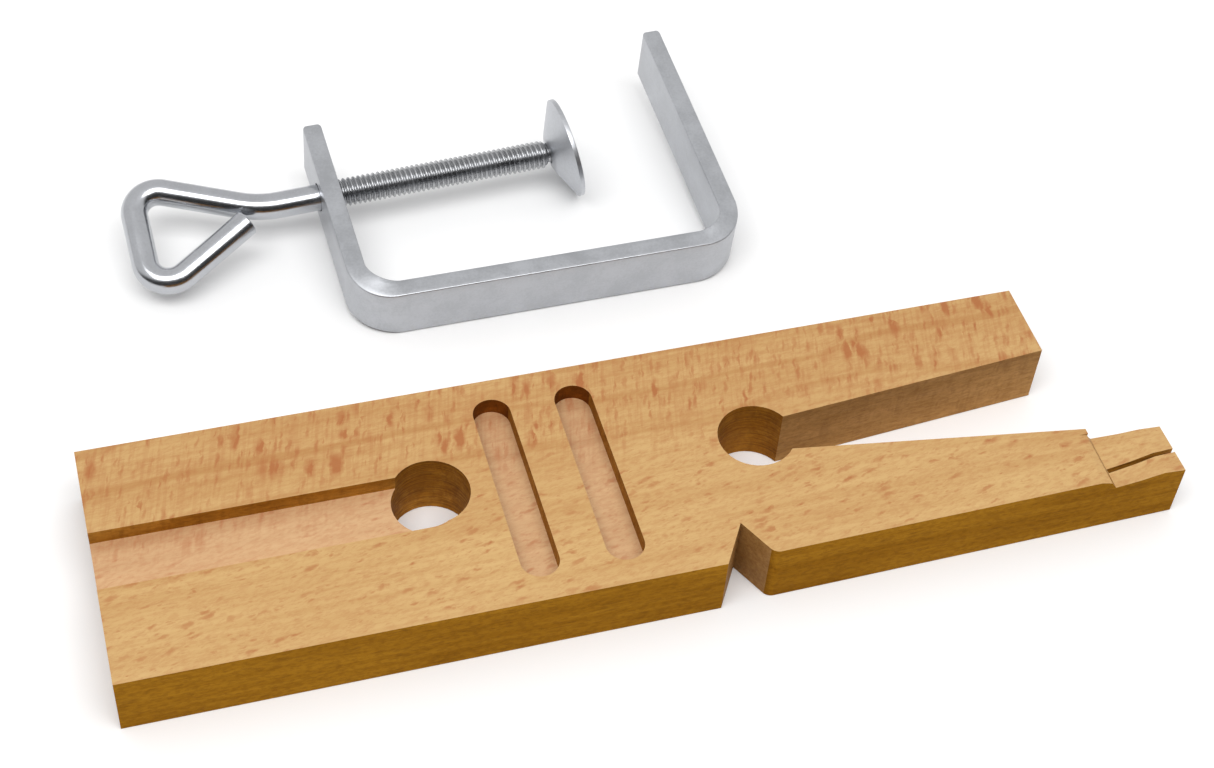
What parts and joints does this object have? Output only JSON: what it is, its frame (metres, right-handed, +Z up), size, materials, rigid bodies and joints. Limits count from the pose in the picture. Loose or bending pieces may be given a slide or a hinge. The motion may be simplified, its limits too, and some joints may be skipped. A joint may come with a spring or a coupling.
{
  "type": "bench pin with clamp",
  "caption": "Wooden bench pin board with a V-slot, cross slots and a clamp groove, and a loose steel C-clamp with a bent rod handle and a dished pad.",
  "frame": {"origin": "centre of the board's underside", "axes": "+X along the board from the grooved end to the V-slot, +Y across it towards the clamp, +Z up from the bench"},
  "size_m": [0.27, 0.1881, 0.0282],
  "materials": {
    "beech": "bare sanded beech",
    "zinc_bar": "satin zinc plate on flat bar",
    "bright_rod": "bright zinc plate on drawn rod, rolled thread",
    "zinc_pad": "satin zinc plate on pressed sheet"
  },
  "bodies": {
    "board": {"bench_pin_board": "beech"},
    "frame": {"clamp_frame": "zinc_bar"},
    "pad": {"pressure_pad": "zinc_pad"},
    "screw": {"clamp_screw": "bright_rod"}
  },
  "joints": [
    {"name": "clamp_lift", "type": "slide", "parent": "board", "child": "frame", "axis": [0, 0, 1], "range_m": [0, 0.06]},
    {"name": "screw_feed", "type": "slide", "parent": "frame", "child": "pad", "axis": [0.9986, 0.0521, 0.005], "range_m": [-0.0592, 0]},
    {"name": "screw_turn", "type": "hinge", "parent": "pad", "child": "screw", "pos_m": [-0.05777, 0.11559, 0.01311], "axis": [0.9986, 0.0521, 0.005], "range_deg": [-15120, 0]}
  ],
  "couplings": [
    {"joint": "screw_turn", "follows": "screw_feed", "rad_per_m": 4452.7}
  ]
}
